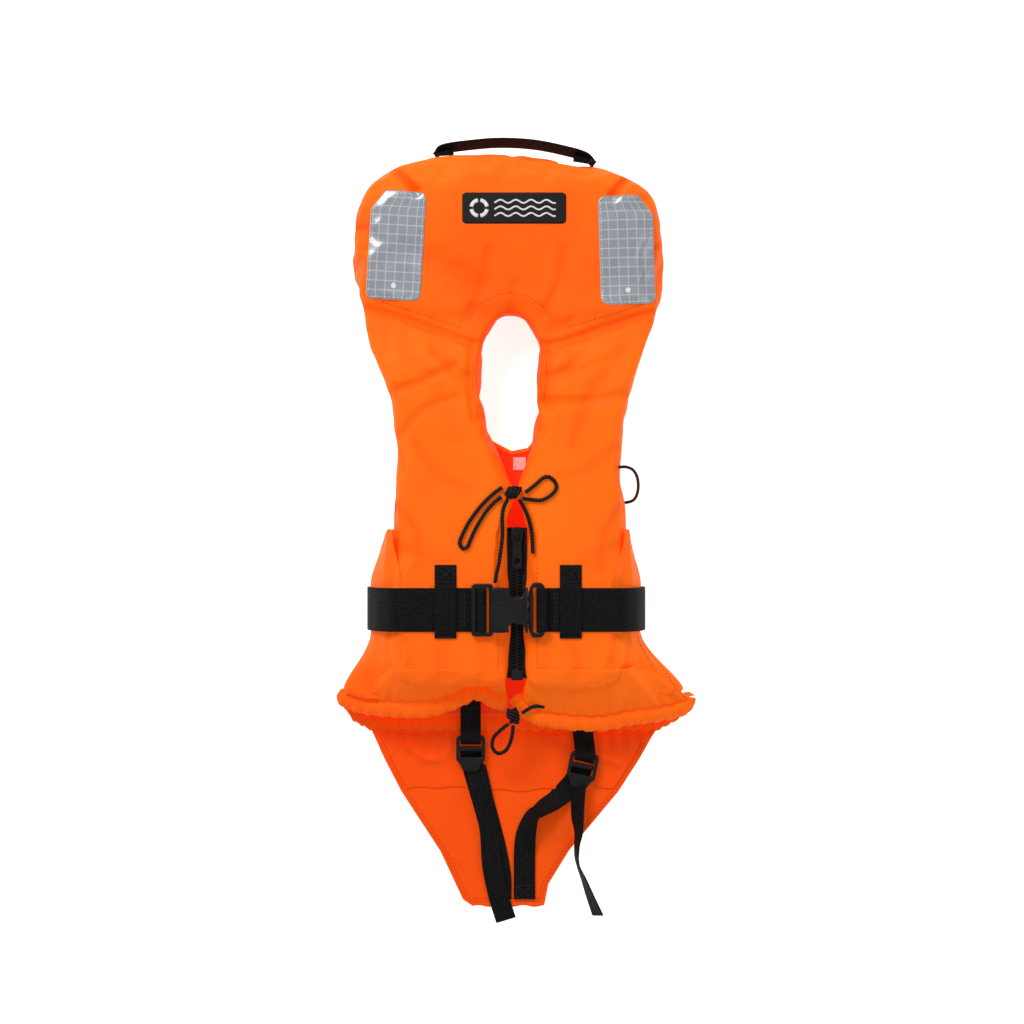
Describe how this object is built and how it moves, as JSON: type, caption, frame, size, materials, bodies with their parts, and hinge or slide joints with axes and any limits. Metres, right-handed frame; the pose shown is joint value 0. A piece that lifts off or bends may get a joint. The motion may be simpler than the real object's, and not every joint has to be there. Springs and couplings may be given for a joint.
{
  "type": "life jacket",
  "caption": "Child's orange foam life jacket with a neck collar, zipped front, belt with side-release buckle, reflective patches, grab handle and a seat flap on crotch straps.",
  "frame": {"origin": "on the belt's centre line, on the face that the jacket's back lies on", "axes": "+Y from the hem to the collar, +Z out of the chest, +X to the right of someone who looks at the chest"},
  "size_m": [0.328, 0.7299, 0.0783],
  "materials": {
    "cover_fabric": "fluorescent orange woven nylon",
    "lining_fabric": "thin orange lining",
    "foam": "closed-cell foam",
    "webbing": "black woven polypropylene",
    "cord": "black braid",
    "moulded": "fine matte mould texture",
    "reflective": "prismatic retroreflective film",
    "label": "woven label",
    "paper_label": "printed satin"
  },
  "bodies": {
    "jacket": {"left_front_cover": "cover_fabric", "left_front_foam": "foam", "right_front_cover": "cover_fabric", "right_front_foam": "foam", "back_panel": "lining_fabric", "left_shoulder_seam": "cover_fabric", "right_shoulder_seam": "cover_fabric", "left_side_panel": "cover_fabric", "right_side_panel": "cover_fabric", "front_hem_left": "cover_fabric", "front_hem_right": "cover_fabric", "back_hem": "cover_fabric", "care_label": "paper_label", "left_strap_anchor": "webbing", "right_strap_anchor": "webbing", "zip_tape_left": "webbing", "zip_tape_right": "webbing", "zip_teeth_left": "moulded", "zip_teeth_right": "moulded", "zip_box": "moulded", "belt_left": "webbing", "left_belt_keeper": "webbing", "right_belt_keeper": "webbing", "buckle_housing": "moulded", "neck_knot": "cord", "neck_loop_right": "cord", "neck_loop_left": "cord", "neck_tail_left": "cord", "neck_tail_right": "cord", "hem_knot": "cord", "hem_loop": "cord", "hem_tail": "cord", "whistle": "moulded", "whistle_lanyard": "cord"},
    "collar": {"collar_cover": "cover_fabric", "collar_foam": "foam", "left_reflector": "reflective", "right_reflector": "reflective", "label_patch": "label"},
    "handle": {"grab_handle": "webbing"},
    "slider": {"zip_slider": "moulded"},
    "pull": {"zip_pull": "moulded"},
    "tongue": {"buckle_tongue": "moulded", "belt_right": "webbing"},
    "flap": {"seat_flap": "cover_fabric", "left_crotch_strap": "webbing", "right_crotch_strap": "webbing", "left_strap_tail": "webbing", "right_strap_tail": "webbing"},
    "left_lock": {"left_ladder_lock": "moulded"},
    "right_lock": {"right_ladder_lock": "moulded"}
  },
  "joints": [
    {"name": "collar_fold", "type": "hinge", "parent": "jacket", "child": "collar", "pos_m": [0, 0.2412, 0.0662], "axis": [1, 0, 0], "range_deg": [0, 60]},
    {"name": "handle_flip", "type": "hinge", "parent": "collar", "child": "handle", "pos_m": [0, 0.424, 0.027], "axis": [1, 0, 0], "range_deg": [0, 50]},
    {"name": "zip_slide", "type": "slide", "parent": "jacket", "child": "slider", "axis": [0, -1, 0], "range_m": [0, 0.11]},
    {"name": "pull_swing", "type": "hinge", "parent": "slider", "child": "pull", "pos_m": [0.0046, 0.0699, 0.05485], "axis": [-1, 0, 0], "range_deg": [0, 100]},
    {"name": "buckle_release", "type": "slide", "parent": "jacket", "child": "tongue", "axis": [1, 0, 0], "range_m": [0, 0.012]},
    {"name": "seat_flap_fold", "type": "hinge", "parent": "jacket", "child": "flap", "pos_m": [0, -0.115, 0.0032], "axis": [-1, 0, 0], "range_deg": [0, 45]},
    {"name": "left_lock_tilt", "type": "hinge", "parent": "flap", "child": "left_lock", "pos_m": [-0.0385, -0.118, 0.0051], "axis": [-1, 0, 0], "range_deg": [0, 35]},
    {"name": "right_lock_tilt", "type": "hinge", "parent": "flap", "child": "right_lock", "pos_m": [0.06848, -0.1343, 0.0051], "axis": [-0.9801, 0.1987, 0], "range_deg": [0, 35]}
  ]
}
